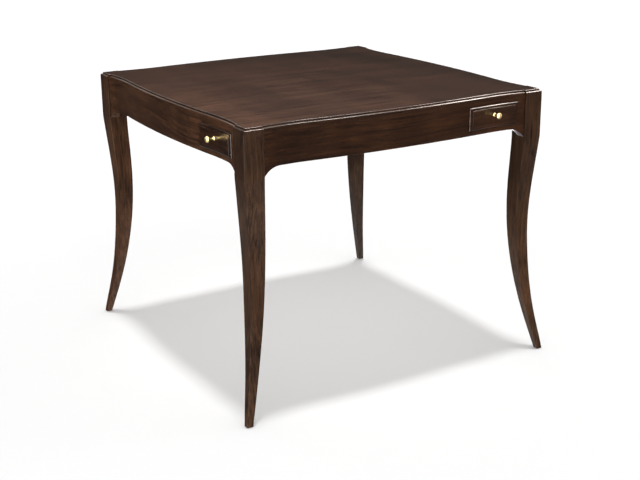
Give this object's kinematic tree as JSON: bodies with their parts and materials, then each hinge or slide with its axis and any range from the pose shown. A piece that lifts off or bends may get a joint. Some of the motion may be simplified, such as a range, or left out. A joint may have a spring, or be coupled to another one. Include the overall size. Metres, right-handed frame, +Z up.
{
  "type": "games table with drawers",
  "caption": "Square games table in dark stained wood with curved legs, serpentine aprons, a moulded top edge and a small sliding drawer with a brass knob in each side.",
  "frame": {"origin": "on the floor, under the centre of the top", "axes": "+Z up; -Y out of the south side, +X out of the east side, each with a drawer at its right-hand end"},
  "size_m": [0.9656, 0.9656, 0.762],
  "materials": {
    "stained_walnut": "dark walnut stain under satin lacquer",
    "walnut_veneer": "straight grained walnut veneer, dark stain under satin lacquer",
    "runner_maple": "planed, waxed",
    "drawer_maple": "sanded, clear lacquer",
    "drawer_plywood": "sanded, clear lacquer",
    "polished_brass": "polished",
    "zinc_steel": "zinc plated",
    "glide_nylon": "moulded"
  },
  "bodies": {
    "table": {"top_panel": "walnut_veneer", "foot_glides": "glide_nylon", "fixing_screws": "zinc_steel", "leg_south_west": "stained_walnut", "corner_block_south_west": "runner_maple", "leg_south_east": "stained_walnut", "corner_block_south_east": "runner_maple", "leg_north_east": "stained_walnut", "corner_block_north_east": "runner_maple", "leg_north_west": "stained_walnut", "corner_block_north_west": "runner_maple", "top_edge_south": "stained_walnut", "apron_south": "stained_walnut", "runner_left_south": "runner_maple", "runner_right_south": "runner_maple", "stop_rail_south": "runner_maple", "top_edge_east": "stained_walnut", "apron_east": "stained_walnut", "runner_left_east": "runner_maple", "runner_right_east": "runner_maple", "stop_rail_east": "runner_maple", "top_edge_north": "stained_walnut", "apron_north": "stained_walnut", "runner_left_north": "runner_maple", "runner_right_north": "runner_maple", "stop_rail_north": "runner_maple", "top_edge_west": "stained_walnut", "apron_west": "stained_walnut", "runner_left_west": "runner_maple", "runner_right_west": "runner_maple", "stop_rail_west": "runner_maple"},
    "drawer_south": {"drawer_front_south": "stained_walnut", "drawer_side_left_south": "drawer_maple", "drawer_side_right_south": "drawer_maple", "drawer_back_south": "drawer_maple", "drawer_bottom_south": "drawer_plywood", "knob_south": "polished_brass", "knob_screw_south": "zinc_steel"},
    "drawer_east": {"drawer_front_east": "stained_walnut", "drawer_side_left_east": "drawer_maple", "drawer_side_right_east": "drawer_maple", "drawer_back_east": "drawer_maple", "drawer_bottom_east": "drawer_plywood", "knob_east": "polished_brass", "knob_screw_east": "zinc_steel"},
    "drawer_north": {"drawer_front_north": "stained_walnut", "drawer_side_left_north": "drawer_maple", "drawer_side_right_north": "drawer_maple", "drawer_back_north": "drawer_maple", "drawer_bottom_north": "drawer_plywood", "knob_north": "polished_brass", "knob_screw_north": "zinc_steel"},
    "drawer_west": {"drawer_front_west": "stained_walnut", "drawer_side_left_west": "drawer_maple", "drawer_side_right_west": "drawer_maple", "drawer_back_west": "drawer_maple", "drawer_bottom_west": "drawer_plywood", "knob_west": "polished_brass", "knob_screw_west": "zinc_steel"}
  },
  "joints": [
    {"name": "drawer_south_slide", "type": "slide", "parent": "table", "child": "drawer_south", "axis": [0, -1, 0], "range_m": [0, 0.18]},
    {"name": "drawer_east_slide", "type": "slide", "parent": "table", "child": "drawer_east", "axis": [1, 0, 0], "range_m": [0, 0.18]},
    {"name": "drawer_north_slide", "type": "slide", "parent": "table", "child": "drawer_north", "axis": [0, 1, 0], "range_m": [0, 0.18]},
    {"name": "drawer_west_slide", "type": "slide", "parent": "table", "child": "drawer_west", "axis": [-1, 0, 0], "range_m": [0, 0.18]}
  ]
}
